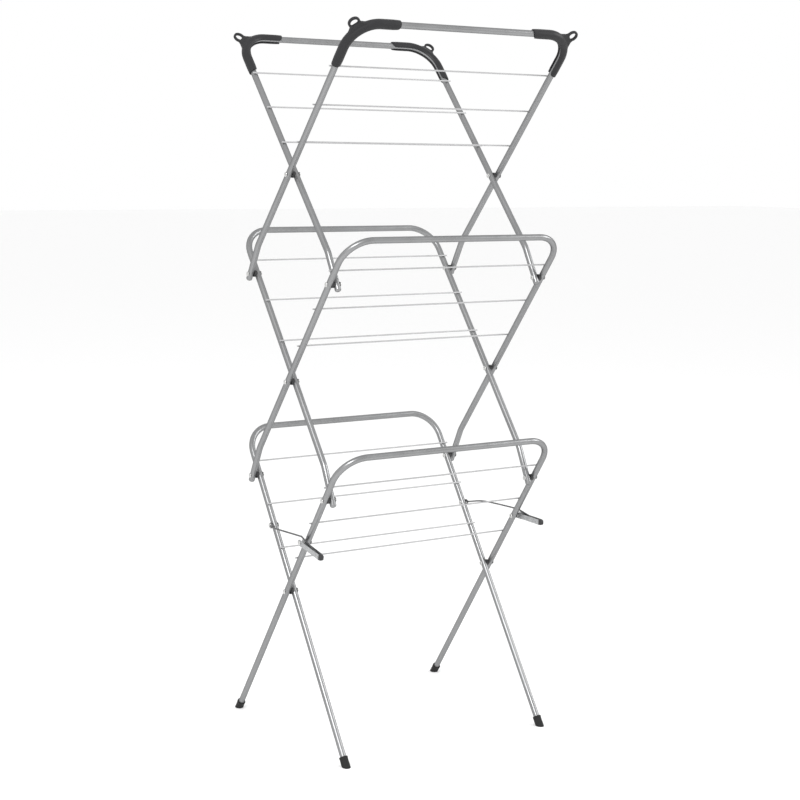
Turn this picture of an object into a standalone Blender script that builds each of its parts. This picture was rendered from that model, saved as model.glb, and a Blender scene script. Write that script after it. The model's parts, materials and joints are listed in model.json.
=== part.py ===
"""Three-tier folding clothes drying rack.

Six U-shaped tube frames make three X-shaped tiers.  In each tier the front frame (rail at the
front, legs in the outer plane) and the back frame (rail at the back, legs in the inner plane)
cross on a rivet at each end.  The lower ends of the frames of the middle and top tiers are
riveted to the legs of the tier below, a little under its rails.  Two wire stays with
over-centre levers hold the lowest X open at its working angle.

Frame of the model: X runs along the rails, -Y is the front, +Z is up, metres.
The origin is on the floor, under the centre of the rack.
"""

import math

import bmesh
import bpy
from mathutils import Vector

# ---- driving dimensions (metres and degrees) ----
TUBE_RADIUS = 0.006
TUBE_WALL = 0.0008
OUTER_SPREAD = 0.480        # between the leg axes of a front frame
PIVOT_GAP = 0.0034          # between an inner and an outer tube at a pivot
LEAN = math.radians(35.0)   # legs of the lowest tier, from upright
RAIL_REACH = 0.3535         # from a crossing pivot up its leg to the rail's axis
FOOT_REACH = 0.3536         # from the lowest crossing pivot down its leg to the floor
LINK_DROP = 0.1045          # from a rail's axis down its leg to the pivots of the next tier
BEND_ANGLE = math.radians(12.0)
BEND_LENGTH = 0.066         # from the bend in a leg to its end pivot
BEND_RADIUS = 0.060
TAIL_LENGTH = 0.015         # of tube past its end pivot
TAIL_ROUNDING = 0.0018      # by which a closed end narrows
CORNER_RADIUS = 0.055

LINE_RADIUS = 0.0015
LINE_TIP = 0.0015           # by which a line's end stands past its tube
LINE_PITCH = 0.094
FIRST_LINE_DROP = 0.078     # from a rail's axis down to its first line
TOP_LINE_PITCH = 0.089
TOP_LINE_DROP = 0.102       # clears the corner covers

RIVET_RADIUS = 0.0024
RIVET_HEAD_RADIUS = 0.0042
RIVET_HEAD_HEIGHT = 0.0018
BUSH_RADIUS = 0.0052
HEAD_CROWN = 0.0023         # radius of the flat on top of a rivet's head
HEAD_EDGE = 0.0006          # height of the head's rim

COVER_WALL = 0.0029
COVER_REACH = 0.094         # from the corner point along the rail and along the leg
COVER_MOUTH = math.radians(25.0)
EYE_RADIUS = 0.0070
EYE_RIM = 0.0045
EYE_THICKNESS = 0.0060
EYE_ROOT_SPREAD = math.radians(24.0)    # of its web along the corner, each way
EYE_RIM_SPREAD = math.radians(100.0)    # of its round rim, each way

FOOT_WALL = 0.0018
FOOT_HEIGHT = 0.020         # of the sleeve along the leg
FOOT_SOLE = 0.003           # least rubber under the tube's end

STAY_REACH = 0.1385         # from the lowest crossing pivot to the stay's two leg rivets
STAY_WIRE_RADIUS = 0.0015
STAY_WASHER = 0.0006        # under the stay wire's eye
STAY_EYE_START = math.radians(-120.0)
STAY_EYE_TURN = math.radians(270.0)
STAY_EYE_EXIT = 0.012       # from the eye's centre to where the wire leaves its leg
STAY_CRANK_START = 0.040    # from the eye's centre to where the wire runs over the lever
STAY_CRANK_RISE = 0.0115    # of the wire over the lever's rivet
STAY_HOOK_BEND = 0.0025
LEVER_ARM = 0.067           # from the lever's rivet to the wire's hook
LEVER_TAIL = 0.0065         # behind the lever's rivet
LEVER_NOSE = 0.006          # of the channel past the wire's hook
LEVER_TIP_LENGTH = 0.007    # of its finger tip
LEVER_HEIGHT = 0.0110
LEVER_TAIL_RADIUS = 0.0064
LEVER_TIP_RADIUS = 0.0032
LEVER_WIDTH = 0.0096
LEVER_WALL = 0.0012
LEVER_STANDOFF = 0.0022     # washer between the front leg and the lever
LEFT_DROOP = math.radians(10.0)
RIGHT_DROOP = math.radians(1.0)

CLEARANCE = 0.0003          # between neighbouring pieces
HOLE_CLEARANCE = 0.0004     # round a rivet's shank

TUBE_SIDES = 12
BORE_SIDES = 8
ROUND_SIDES = 12
LINE_SIDES = 8
CORNER_STEPS = 6
BEND_STEPS = 2
COVER_STEPS = 10
EYE_ROOT_STEPS = 6
EYE_RIM_STEPS = 10
LEVER_STEPS = 6
TIP_STEPS = 3
STAY_EYE_STEPS = 8

# ---- places that follow from them ----
LINK_SPAN = RAIL_REACH - LINK_DROP   # from a crossing pivot to the pivots above and below it
OUTER_X = OUTER_SPREAD / 2
INNER_X = OUTER_X - 2 * TUBE_RADIUS - PIVOT_GAP
BEND_OFFSET = BEND_LENGTH * math.sin(BEND_ANGLE)
LEAN_GAIN = math.asin(BEND_OFFSET / LINK_SPAN)
END_DROP = math.sqrt(LINK_SPAN ** 2 - BEND_OFFSET ** 2)
BEND_DROP = END_DROP - BEND_LENGTH * math.cos(BEND_ANGLE)
LINE_OFFSET = TUBE_RADIUS + CLEARANCE + LINE_RADIUS
LEVER_BODY = LEVER_ARM + LEVER_NOSE
LEVER_LENGTH = LEVER_BODY + LEVER_TIP_LENGTH
TIERS = ("lower", "middle", "top")
FRONT = 1
BACK = -1
LEANS = [LEAN + LEAN_GAIN * tier for tier in range(3)]
CROSS_HEIGHTS = [FOOT_REACH * math.cos(LEAN)]
for tier_lean in LEANS[:2]:
    CROSS_HEIGHTS.append(CROSS_HEIGHTS[-1] + 2 * LINK_SPAN * math.cos(tier_lean))
SIDES = (("left", -1), ("right", 1))


# ---- scene, materials and small mesh helpers ----
def clear_scene():
    for obj in list(bpy.data.objects):
        bpy.data.objects.remove(obj, do_unlink=True)


def make_material(name, colour, roughness, metallic):
    material = bpy.data.materials.new(name)
    material.use_nodes = True
    shader = material.node_tree.nodes["Principled BSDF"]
    shader.inputs["Base Color"].default_value = (*colour, 1.0)
    shader.inputs["Roughness"].default_value = roughness
    shader.inputs["Metallic"].default_value = metallic
    return material


def finish_mesh(name, mesh_builder, material, turn_out=True):
    """Turn a bmesh into a named, smooth-shaded object; turn_out makes all faces look outward."""
    if turn_out:
        bmesh.ops.recalc_face_normals(mesh_builder, faces=mesh_builder.faces[:])
    mesh = bpy.data.meshes.new(name)
    mesh_builder.to_mesh(mesh)
    mesh_builder.free()
    mesh.shade_smooth()
    mesh.set_sharp_from_angle(angle=math.radians(40.0))
    if material is not None:
        mesh.materials.append(material)
    obj = bpy.data.objects.new(name, mesh)
    bpy.context.scene.collection.objects.link(obj)
    return obj


def make_empty(name, location, tilt, parent=None):
    """An empty on a pivot axis; tilt turns it about X."""
    empty = bpy.data.objects.new(name, None)
    empty.empty_display_size = 0.03
    empty.location = location
    empty.rotation_euler = (tilt, 0.0, 0.0)
    bpy.context.scene.collection.objects.link(empty)
    empty.parent = parent
    return empty


def sweep(mesh_builder, path, radii, sides, start_side, cap_ends=True):
    """Round tube skin along a path of points; returns its first and last rings."""
    rings = []
    side = Vector(start_side).normalized()
    for index, point in enumerate(path):
        before = path[max(index - 1, 0)]
        after = path[min(index + 1, len(path) - 1)]
        along = (after - before).normalized()
        side = (side - along * side.dot(along)).normalized()
        other = along.cross(side)
        ring = []
        for corner in range(sides):
            angle = 2 * math.pi * corner / sides
            reach = side * math.cos(angle) + other * math.sin(angle)
            ring.append(mesh_builder.verts.new(point + reach * radii[index]))
        rings.append(ring)
    for lower, upper in zip(rings, rings[1:]):
        for corner in range(sides):
            following = (corner + 1) % sides
            mesh_builder.faces.new((lower[corner], lower[following], upper[following], upper[corner]))
    if cap_ends:
        mesh_builder.faces.new(rings[0][::-1])
        mesh_builder.faces.new(rings[-1])
    return rings[0], rings[-1]


def join_rims(mesh_builder, outer, inner):
    """Flat ring of triangles between two coaxial rims with different corner counts."""
    edges = []
    for rim in (outer, inner):
        for corner, vert in enumerate(rim):
            edge = mesh_builder.edges.get((vert, rim[(corner + 1) % len(rim)]))
            edges.append(edge)
    bmesh.ops.triangle_fill(mesh_builder, edges=edges, use_beauty=True)


def turned(name, profile, material, sides=ROUND_SIDES):
    """Body of revolution about X from (x, radius) pairs; a radius of 0 closes an end."""
    mesh_builder = bmesh.new()
    rings = []
    for along, radius in profile:
        if radius == 0:
            rings.append([mesh_builder.verts.new((along, 0, 0))])
            continue
        ring = []
        for corner in range(sides):
            angle = 2 * math.pi * corner / sides
            offset = (along, radius * math.cos(angle), radius * math.sin(angle))
            ring.append(mesh_builder.verts.new(offset))
        rings.append(ring)
    for first, second in zip(rings, rings[1:]):
        for corner in range(sides):
            following = (corner + 1) % sides
            quad = [first[corner % len(first)], first[following % len(first)],
                    second[following % len(second)], second[corner % len(second)]]
            mesh_builder.faces.new(list(dict.fromkeys(quad)))
    return finish_mesh(name, mesh_builder, material)


def cut(target, cutter):
    """Subtract a cutter from a piece."""
    cutter.hide_render = True
    cutter.display_type = "WIRE"
    modifier = target.modifiers.new("cut_" + cutter.name, "BOOLEAN")
    modifier.operation = "DIFFERENCE"
    modifier.object = cutter


def weld(target, addition):
    """Unite a second shape with a piece."""
    addition.hide_render = True
    addition.display_type = "WIRE"
    modifier = target.modifiers.new("weld_" + addition.name, "BOOLEAN")
    modifier.operation = "UNION"
    modifier.object = addition


# ---- tube frames ----
def leg_x(face):
    return OUTER_X if face == FRONT else INNER_X


def face_name(face):
    return "front" if face == FRONT else "back"


def leg_points(face, tier):
    """One leg from its lower end to the start of the corner, in the frame's own plane (y, z)."""
    corner_start = RAIL_REACH - CORNER_RADIUS
    if tier == 0:
        tube_end = FOOT_REACH - FOOT_SOLE - TUBE_RADIUS * math.tan(LEAN)
        return [(0.0, -tube_end), (0.0, corner_start)]
    points = []
    swing = -face
    end_reach = BEND_LENGTH + TAIL_LENGTH
    for reach in (end_reach, end_reach - TAIL_ROUNDING):
        points.append((swing * reach * math.sin(BEND_ANGLE), -BEND_DROP - reach * math.cos(BEND_ANGLE)))
    half = BEND_RADIUS * math.tan(BEND_ANGLE / 2)
    for step in range(BEND_STEPS + 1):
        angle = BEND_ANGLE * (1 - step / BEND_STEPS)
        drop = BEND_DROP - half + BEND_RADIUS * math.sin(angle)
        shift = BEND_RADIUS * (1 - math.cos(angle))
        points.append((swing * shift, -drop))
    points.append((0.0, corner_start))
    return points


def frame_path(face, tier):
    """Axis of a whole U frame, from the left leg's end over the rail to the right leg's end."""
    across = leg_x(face)
    leg = leg_points(face, tier)
    left = [Vector((-across, y, z)) for y, z in leg]
    corner = []
    for step in range(1, CORNER_STEPS + 1):
        angle = math.pi / 2 * step / CORNER_STEPS
        inward = CORNER_RADIUS * (1 - math.cos(angle))
        upward = CORNER_RADIUS * math.sin(angle)
        corner.append(Vector((-across + inward, 0.0, RAIL_REACH - CORNER_RADIUS + upward)))
    half = left + corner
    return half + [Vector((-point.x, point.y, point.z)) for point in reversed(half)]


def frame_holes(face, tier):
    """Places of the rivet holes in a leg (y, z), in the frame's own plane."""
    holes = [(0.0, 0.0)]
    if tier < 2:
        holes.append((0.0, LINK_SPAN))
    if tier > 0:
        holes.append((-face * BEND_OFFSET, -END_DROP))
    if tier == 0:
        holes.append((0.0, STAY_REACH))
    return holes


def build_frame(face, tier, pivot, material):
    name = TIERS[tier] + "_" + face_name(face) + "_frame"
    path = frame_path(face, tier)
    bore = TUBE_RADIUS - TUBE_WALL
    mesh_builder = bmesh.new()
    radii = [TUBE_RADIUS] * len(path)
    bore_path = list(path)
    closed = tier > 0
    if closed:
        radii[0] = TUBE_RADIUS - TAIL_ROUNDING
        radii[-1] = TUBE_RADIUS - TAIL_ROUNDING
        bore_path = path[1:-1]
    outer = sweep(mesh_builder, path, radii, TUBE_SIDES, (1, 0, 0), cap_ends=closed)
    inner = sweep(mesh_builder, bore_path, [bore] * len(bore_path), BORE_SIDES, (1, 0, 0),
                  cap_ends=closed)
    if not closed:
        for outer_rim, inner_rim in zip(outer, inner):
            join_rims(mesh_builder, outer_rim, inner_rim)
    else:
        flip_bore(mesh_builder, len(path) * TUBE_SIDES)
    frame = finish_mesh(name, mesh_builder, material, turn_out=not closed)
    frame.parent = pivot

    drill_builder = bmesh.new()
    reach = leg_x(face) + 3 * TUBE_RADIUS
    radius = RIVET_RADIUS + HOLE_CLEARANCE
    for y, z in frame_holes(face, tier):
        ends = [Vector((-reach, y, z)), Vector((reach, y, z))]
        sweep(drill_builder, ends, [radius, radius], ROUND_SIDES, (0, 0, 1))
    drill = finish_mesh(name + "_drill", drill_builder, None)
    drill.parent = pivot
    cut(frame, drill)
    return frame


def flip_bore(mesh_builder, outer_count):
    """Turn the faces of a closed bore inward, so that the tube is hollow."""
    mesh_builder.verts.index_update()
    outside = [f for f in mesh_builder.faces if f.verts[0].index < outer_count]
    bore = [f for f in mesh_builder.faces if f.verts[0].index >= outer_count]
    bmesh.ops.recalc_face_normals(mesh_builder, faces=outside)
    bmesh.ops.recalc_face_normals(mesh_builder, faces=bore)
    bmesh.ops.reverse_faces(mesh_builder, faces=bore)


# ---- drying lines, welded across the upper face of a frame's legs ----
def line_heights(tier):
    drop = TOP_LINE_DROP if tier == 2 else FIRST_LINE_DROP
    pitch = TOP_LINE_PITCH if tier == 2 else LINE_PITCH
    return [RAIL_REACH - drop - pitch * number for number in range(3)]


def build_lines(face, tier, pivot, material):
    reach = leg_x(face) + TUBE_RADIUS + LINE_TIP
    for number, height in enumerate(line_heights(tier), start=1):
        name = "{}_{}_line_{}".format(TIERS[tier], face_name(face), number)
        mesh_builder = bmesh.new()
        ends = [Vector((-reach, 0, 0)), Vector((reach, 0, 0))]
        sweep(mesh_builder, ends, [LINE_RADIUS] * 2, LINE_SIDES, (0, 0, 1))
        line = finish_mesh(name, mesh_builder, material)
        line.location = (0.0, face * LINE_OFFSET, height)
        line.parent = pivot


# ---- rivets ----
def rivet_profile(inner_face, outer_face, collars):
    """Rivet along X between two head faces, thickened by collars given as (start, end)."""
    head = RIVET_HEAD_RADIUS
    rise = RIVET_HEAD_HEIGHT
    profile = [(inner_face - rise, 0), (inner_face - rise, HEAD_CROWN),
               (inner_face - HEAD_EDGE, head), (inner_face, head), (inner_face, RIVET_RADIUS)]
    for start, end in collars:
        profile += [(start, RIVET_RADIUS), (start, BUSH_RADIUS), (end, BUSH_RADIUS), (end, RIVET_RADIUS)]
    profile += [(outer_face, RIVET_RADIUS), (outer_face, head), (outer_face + HEAD_EDGE, head),
                (outer_face + rise, HEAD_CROWN), (outer_face + rise, 0)]
    return profile


def place_rivet(name, profile, sign, place, parent, material):
    mirrored = [(sign * x, radius) for x, radius in profile]
    rivet = turned(name, mirrored, material)
    rivet.location = (0.0, *place)
    rivet.parent = parent
    return rivet


def build_pivot(name, place, parent, material):
    """A rivet with its spacer bush through an inner and an outer leg, at both ends."""
    inner_face = INNER_X - TUBE_RADIUS - CLEARANCE
    outer_face = OUTER_X + TUBE_RADIUS + CLEARANCE
    collar = (INNER_X + TUBE_RADIUS + CLEARANCE, OUTER_X - TUBE_RADIUS - CLEARANCE)
    profile = rivet_profile(inner_face, outer_face, [collar])
    for side, sign in SIDES:
        place_rivet(name + "_" + side, profile, sign, place, parent, material)


# ---- corner covers of the top tier ----
def build_cover(face, side, sign, pivot, material):
    """C-shaped shell swept round a corner, its mouth towards the inside of the corner."""
    name = "{}_{}_corner_cover".format(face_name(face), side)
    across = leg_x(face)
    inner_radius = TUBE_RADIUS + CLEARANCE
    outer_radius = inner_radius + COVER_WALL
    centre = Vector((sign * (across - CORNER_RADIUS), 0.0, RAIL_REACH - CORNER_RADIUS))
    stations = []
    leg_start = Vector((sign * across, 0.0, RAIL_REACH - COVER_REACH))
    stations.append((leg_start, Vector((-sign, 0, 0))))
    for step in range(CORNER_STEPS + 1):
        angle = math.pi / 2 * step / CORNER_STEPS
        outward = Vector((sign * math.cos(angle), 0.0, math.sin(angle)))
        stations.append((centre + outward * CORNER_RADIUS, -outward))
    rail_end = Vector((sign * (across - COVER_REACH), 0.0, RAIL_REACH))
    stations.append((rail_end, Vector((0, 0, -1))))

    mesh_builder = bmesh.new()
    sections = []
    for point, mouth in stations:
        section = []
        outward_arc = range(COVER_STEPS + 1)
        for radius, order in ((outer_radius, outward_arc), (inner_radius, reversed(outward_arc))):
            for step in order:
                angle = COVER_MOUTH + 2 * (math.pi - COVER_MOUTH) * step / COVER_STEPS
                direction = mouth * math.cos(angle) + Vector((0, 1, 0)) * math.sin(angle)
                section.append(mesh_builder.verts.new(point + direction * radius))
        sections.append(section)
    count = len(sections[0])
    for first, second in zip(sections, sections[1:]):
        for corner in range(count):
            following = (corner + 1) % count
            mesh_builder.faces.new((first[corner], first[following], second[following], second[corner]))
    for section in (sections[0], sections[-1]):
        for step in range(COVER_STEPS):
            back = 2 * COVER_STEPS + 1 - step
            mesh_builder.faces.new((section[step], section[step + 1], section[back - 1], section[back]))
    cover = finish_mesh(name, mesh_builder, material)
    cover.parent = pivot

    eye = build_eye(name + "_eye", across, sign, centre, outer_radius)
    eye.parent = pivot
    weld(cover, eye)
    return cover


def build_eye(name, across, sign, centre, outer_radius):
    """Loop at the corner point, with a web that runs into the cover's back."""
    eye_centre = Vector((sign * across, 0.0, RAIL_REACH))
    rim = EYE_RADIUS + EYE_RIM
    root_radius = CORNER_RADIUS + outer_radius - COVER_WALL / 2
    diagonal = math.pi / 4
    outline = []
    for step in range(EYE_ROOT_STEPS + 1):
        angle = diagonal + EYE_ROOT_SPREAD * (2 * step / EYE_ROOT_STEPS - 1)
        direction = Vector((sign * math.cos(angle), 0.0, math.sin(angle)))
        outline.append(centre + direction * root_radius)
    for step in range(EYE_RIM_STEPS + 1):
        angle = diagonal + EYE_RIM_SPREAD * (1 - 2 * step / EYE_RIM_STEPS)
        direction = Vector((sign * math.cos(angle), 0.0, math.sin(angle)))
        outline.append(eye_centre + direction * rim)
    mesh_builder = bmesh.new()
    layers = []
    for y in (-EYE_THICKNESS / 2, EYE_THICKNESS / 2):
        border = [mesh_builder.verts.new((p.x, y, p.z)) for p in outline]
        hole = []
        for corner in range(ROUND_SIDES):
            angle = 2 * math.pi * corner / ROUND_SIDES
            hole.append(mesh_builder.verts.new((eye_centre.x + EYE_RADIUS * math.cos(angle), y,
                                                eye_centre.z + EYE_RADIUS * math.sin(angle))))
        edges = []
        for loop in (border, hole):
            for corner, vert in enumerate(loop):
                edges.append(mesh_builder.edges.new((vert, loop[(corner + 1) % len(loop)])))
        bmesh.ops.triangle_fill(mesh_builder, edges=edges, use_beauty=True)
        layers.append((border, hole))
    for front_loop, back_loop in zip(layers[0], layers[1]):
        count = len(front_loop)
        for corner in range(count):
            following = (corner + 1) % count
            mesh_builder.faces.new((front_loop[corner], front_loop[following],
                                    back_loop[following], back_loop[corner]))
    return finish_mesh(name, mesh_builder, None)


# ---- feet: caps over the lowest leg ends, soles cut flat to the floor ----
def build_foot(face, side, sign, pivot, material):
    where = "back" if face == FRONT else "front"
    name = "{}_{}_foot".format(where, side)
    across = sign * leg_x(face)
    inner_radius = TUBE_RADIUS + CLEARANCE
    outer_radius = inner_radius + FOOT_WALL
    slope = face * math.tan(LEAN)
    tube_end = FOOT_REACH - FOOT_SOLE - TUBE_RADIUS * math.tan(LEAN)
    mesh_builder = bmesh.new()
    top = -FOOT_REACH + FOOT_HEIGHT
    loops = {"sole": [], "rim": [], "mouth": [], "floor": []}
    for corner in range(ROUND_SIDES):
        angle = 2 * math.pi * corner / ROUND_SIDES
        x = math.cos(angle)
        y = math.sin(angle)
        sole_z = -FOOT_REACH - slope * y * outer_radius
        loops["sole"].append(mesh_builder.verts.new((across + x * outer_radius, y * outer_radius, sole_z)))
        loops["rim"].append(mesh_builder.verts.new((across + x * outer_radius, y * outer_radius, top)))
        loops["mouth"].append(mesh_builder.verts.new((across + x * inner_radius, y * inner_radius, top)))
        loops["floor"].append(mesh_builder.verts.new((across + x * inner_radius, y * inner_radius,
                                                      -tube_end - CLEARANCE)))
    order = ("sole", "rim", "mouth", "floor")
    for lower, upper in zip(order, order[1:]):
        for corner in range(ROUND_SIDES):
            following = (corner + 1) % ROUND_SIDES
            mesh_builder.faces.new((loops[lower][corner], loops[lower][following],
                                    loops[upper][following], loops[upper][corner]))
    mesh_builder.faces.new(loops["sole"])
    mesh_builder.faces.new(loops["floor"])
    foot = finish_mesh(name, mesh_builder, material)
    foot.parent = pivot
    return foot


# ---- lock stays between the lowest frames ----
def stay_plane():
    """Distance of the lever channel's middle from the centre of the rack."""
    return OUTER_X + TUBE_RADIUS + LEVER_STANDOFF + LEVER_WIDTH / 2


def build_lever(side, sign, hinge, materials):
    """Channel lever, open upward, pointing along -Y of its hinge empty."""
    half = LEVER_WIDTH / 2
    high = LEVER_HEIGHT / 2
    low = -high
    round_end = LEVER_TAIL_RADIUS
    middle = sign * stay_plane()
    outline = []
    for step in range(LEVER_STEPS + 1):
        angle = math.pi * (0.5 - step / LEVER_STEPS)
        outline.append((LEVER_TAIL - round_end + round_end * math.cos(angle), round_end * math.sin(angle)))
    outline += [(-LEVER_BODY, low), (-LEVER_BODY, high)]
    lever = prism(side + "_lock_lever", outline, middle - half, middle + half, materials["lever"])
    lever.parent = hinge
    cavity_outline = [(2 * LEVER_TAIL, low + LEVER_WALL), (-LEVER_BODY - LEVER_WALL, low + LEVER_WALL),
                      (-LEVER_BODY - LEVER_WALL, LEVER_HEIGHT), (2 * LEVER_TAIL, LEVER_HEIGHT)]
    wall = half - LEVER_WALL
    cavity = prism(side + "_lever_cavity", cavity_outline, middle - wall, middle + wall, None)
    cavity.parent = hinge
    cut(lever, cavity)

    drill_builder = bmesh.new()
    for along, radius in ((0.0, RIVET_RADIUS + HOLE_CLEARANCE),
                          (-LEVER_ARM, STAY_WIRE_RADIUS + HOLE_CLEARANCE)):
        ends = [Vector((middle - 2 * half, along, 0)), Vector((middle + 2 * half, along, 0))]
        sweep(drill_builder, ends, [radius] * 2, LINE_SIDES, (0, 0, 1))
    drill = finish_mesh(side + "_lever_drill", drill_builder, None)
    drill.parent = hinge
    cut(lever, drill)

    tip_outline = [(-LEVER_BODY - CLEARANCE, low)]
    corner = LEVER_TIP_RADIUS
    for centre_z, first in ((low + corner, -math.pi / 2), (high - corner, 0.0)):
        for step in range(TIP_STEPS + 1):
            angle = first + math.pi / 2 * step / TIP_STEPS
            tip_outline.append((-LEVER_LENGTH + corner - corner * math.cos(angle),
                                centre_z + corner * math.sin(angle)))
    tip_outline.append((-LEVER_BODY - CLEARANCE, high))
    tip = prism(side + "_lever_tip", tip_outline, middle - half, middle + half, materials["plastic"])
    tip.parent = hinge


def prism(name, outline, start, end, material):
    """Solid with a given side outline (y, z), from x = start to x = end."""
    mesh_builder = bmesh.new()
    first = [mesh_builder.verts.new((start, y, z)) for y, z in outline]
    second = [mesh_builder.verts.new((end, y, z)) for y, z in outline]
    mesh_builder.faces.new(first[::-1])
    mesh_builder.faces.new(second)
    count = len(outline)
    for corner in range(count):
        following = (corner + 1) % count
        mesh_builder.faces.new((first[corner], first[following], second[following], second[corner]))
    return finish_mesh(name, mesh_builder, material)


def build_stay_wire(side, sign, hook, hinge, material):
    """Wire from its eye round the back leg's rivet to its hook in the lever.

    The hinge empty sits on the back leg's rivet, with world axes; hook is where the wire's
    end goes, as an offset (y, z) from it.
    """
    eye_x = sign * (INNER_X + TUBE_RADIUS + CLEARANCE + STAY_WASHER + STAY_WIRE_RADIUS)
    run_x = sign * stay_plane()
    eye_radius = RIVET_RADIUS + HOLE_CLEARANCE + STAY_WIRE_RADIUS
    path = []
    for step in range(STAY_EYE_STEPS + 1):
        angle = STAY_EYE_START + STAY_EYE_TURN * step / STAY_EYE_STEPS
        path.append(Vector((eye_x, eye_radius * math.cos(angle), eye_radius * math.sin(angle))))
    over_rivet = -2 * STAY_REACH * math.sin(LEAN)
    crest = STAY_CRANK_RISE
    path.append(Vector((eye_x, -STAY_EYE_EXIT, crest / 4)))
    path.append(Vector((run_x, -STAY_CRANK_START, crest / 2)))
    path.append(Vector((run_x, over_rivet + 4 * RIVET_RADIUS, crest)))
    path.append(Vector((run_x, over_rivet - 2 * RIVET_RADIUS, crest - STAY_WIRE_RADIUS / 2)))
    hook_point = Vector((run_x, hook[0], hook[1]))
    approach = (hook_point - path[-1]).normalized()
    path.append(hook_point - approach * STAY_HOOK_BEND)
    path.append(hook_point + Vector((-sign * STAY_HOOK_BEND / 2, 0, 0)))
    stub_end = LEVER_WIDTH / 2 - LEVER_WALL - HOLE_CLEARANCE
    path.append(hook_point + Vector((-sign * stub_end, 0, 0)))
    mesh_builder = bmesh.new()
    sweep(mesh_builder, path, [STAY_WIRE_RADIUS] * len(path), LINE_SIDES, (1, 0, 0))
    wire = finish_mesh(side + "_stay_wire", mesh_builder, material)
    wire.parent = hinge
    return wire


def build_stay(side, sign, droop, pivots, materials):
    lever_rivet = Vector((0.0, 0.0, STAY_REACH))
    lever_hinge = make_empty(side + "_lever_hinge", lever_rivet, droop - LEAN, pivots["lower_front"])
    build_lever(side, sign, lever_hinge, materials)
    stay_hinge = make_empty(side + "_stay_hinge", lever_rivet, LEAN, pivots["lower_back"])
    hook_y = -2 * STAY_REACH * math.sin(LEAN) - LEVER_ARM * math.cos(droop)
    hook_z = -LEVER_ARM * math.sin(droop)
    build_stay_wire(side, sign, (hook_y, hook_z), stay_hinge, materials["stay"])

    inner_face = INNER_X - TUBE_RADIUS - CLEARANCE
    leg_outside = INNER_X + TUBE_RADIUS + CLEARANCE
    eye_outside = leg_outside + STAY_WASHER + 2 * STAY_WIRE_RADIUS + CLEARANCE
    profile = rivet_profile(inner_face, eye_outside, [])
    place_rivet(side + "_stay_rivet", profile, sign, (0.0, STAY_REACH), pivots["lower_back"],
                materials["rivet"])

    inner_face = OUTER_X - TUBE_RADIUS - CLEARANCE
    leg_outside = OUTER_X + TUBE_RADIUS + CLEARANCE
    lever_inside = stay_plane() - LEVER_WIDTH / 2 - CLEARANCE
    lever_outside = stay_plane() + LEVER_WIDTH / 2 + CLEARANCE
    profile = rivet_profile(inner_face, lever_outside, [(leg_outside, lever_inside)])
    place_rivet(side + "_lever_rivet", profile, sign, (0.0, STAY_REACH), pivots["lower_front"],
                materials["rivet"])


# ---- the whole rack ----
def build_rack():
    clear_scene()
    materials = {
        "tube": make_material("silver_tube", (0.50, 0.51, 0.52), 0.35, 0.85),
        "line": make_material("pale_line", (0.72, 0.72, 0.72), 0.40, 0.10),
        "rivet": make_material("zinc_rivet", (0.62, 0.62, 0.62), 0.30, 0.90),
        "plastic": make_material("charcoal_plastic", (0.035, 0.036, 0.038), 0.50, 0.0),
        "lever": make_material("zinc_lever", (0.42, 0.43, 0.44), 0.40, 0.85),
        "stay": make_material("dark_wire", (0.10, 0.10, 0.10), 0.45, 0.60),
    }
    pivots = {}
    for tier, (tier_name, height) in enumerate(zip(TIERS, CROSS_HEIGHTS)):
        for face in (FRONT, BACK):
            label = tier_name + "_" + face_name(face)
            pivots[label] = make_empty(label + "_pivot", (0.0, 0.0, height), face * LEANS[tier])
            build_frame(face, tier, pivots[label], materials["tube"])
            build_lines(face, tier, pivots[label], materials["line"])

    for tier, tier_name in enumerate(TIERS):
        build_pivot(tier_name + "_cross_pivot", (0.0, 0.0), pivots[tier_name + "_back"],
                    materials["rivet"])
        if tier < 2:
            for face in (FRONT, BACK):
                name = "{}_{}_joint_pivot".format(tier_name, face_name(face))
                build_pivot(name, (0.0, LINK_SPAN), pivots[tier_name + "_" + face_name(face)],
                            materials["rivet"])

    for side, sign in SIDES:
        for face in (FRONT, BACK):
            build_cover(face, side, sign, pivots["top_" + face_name(face)], materials["plastic"])
            build_foot(face, side, sign, pivots["lower_" + face_name(face)], materials["plastic"])

    build_stay("left", -1, LEFT_DROOP, pivots, materials)
    build_stay("right", 1, RIGHT_DROOP, pivots, materials)
    bpy.context.view_layer.update()


build_rack()
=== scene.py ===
"""Folding clothes drying rack: the finished look of each piece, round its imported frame."""
import json
import math

import bmesh
import bpy
from mathutils import Matrix, Vector


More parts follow.
